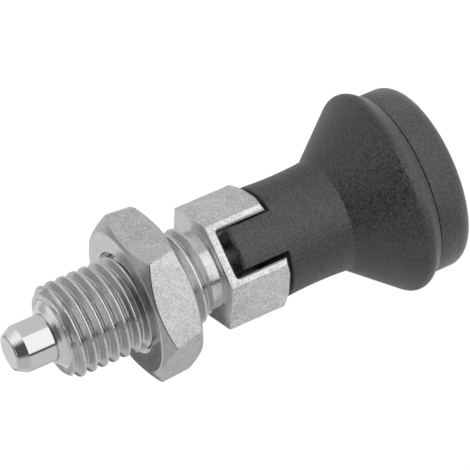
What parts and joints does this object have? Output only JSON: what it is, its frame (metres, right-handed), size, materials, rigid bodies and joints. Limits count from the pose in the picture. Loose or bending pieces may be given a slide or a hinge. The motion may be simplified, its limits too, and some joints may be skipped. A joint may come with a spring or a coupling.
{
  "type": "indexing plunger",
  "caption": "Locking indexing plunger: threaded body with slotted hexagon, sprung cylindrical pin, mushroom pull knob with two lugs, and a hexagon locknut.",
  "frame": {"origin": "centre of the knob cap's flat end, which the plunger stands on", "axes": "+Z along the plunger's axis towards the pin's nose; the slot for the knob's lugs runs along Y, and the body's hexagon has corners on +X and -X"},
  "size_m": [0.0258, 0.0258, 0.0578],
  "materials": {
    "stainless_body": "turned and milled stainless steel",
    "stainless_pin": "ground stainless steel",
    "stainless_nut": "cold-formed stainless steel",
    "spring_steel": "drawn spring wire",
    "grey_black_plastic": "moulded, finely textured, grey-black"
  },
  "bodies": {
    "bushing": {"body": "stainless_body", "guide_bush": "stainless_body", "spring": "spring_steel"},
    "plunger": {"locking_pin": "stainless_pin", "knob": "grey_black_plastic", "knob_cap": "grey_black_plastic", "knob_washer": "stainless_nut", "pin_nut": "stainless_nut"},
    "nut": {"locknut": "stainless_nut"}
  },
  "joints": [
    {"name": "pull", "type": "slide", "parent": "bushing", "child": "plunger", "axis": [0, 0, -1], "range_m": [0, 0.006], "stiffness_N_per_m": 1350, "springref_m": -0.0045, "deforming": ["spring"]},
    {"name": "nut_turn", "type": "hinge", "parent": "bushing", "child": "nut", "pos_m": [0, 0, 0.03915], "axis": [0, 0, 1], "continuous": true}
  ]
}
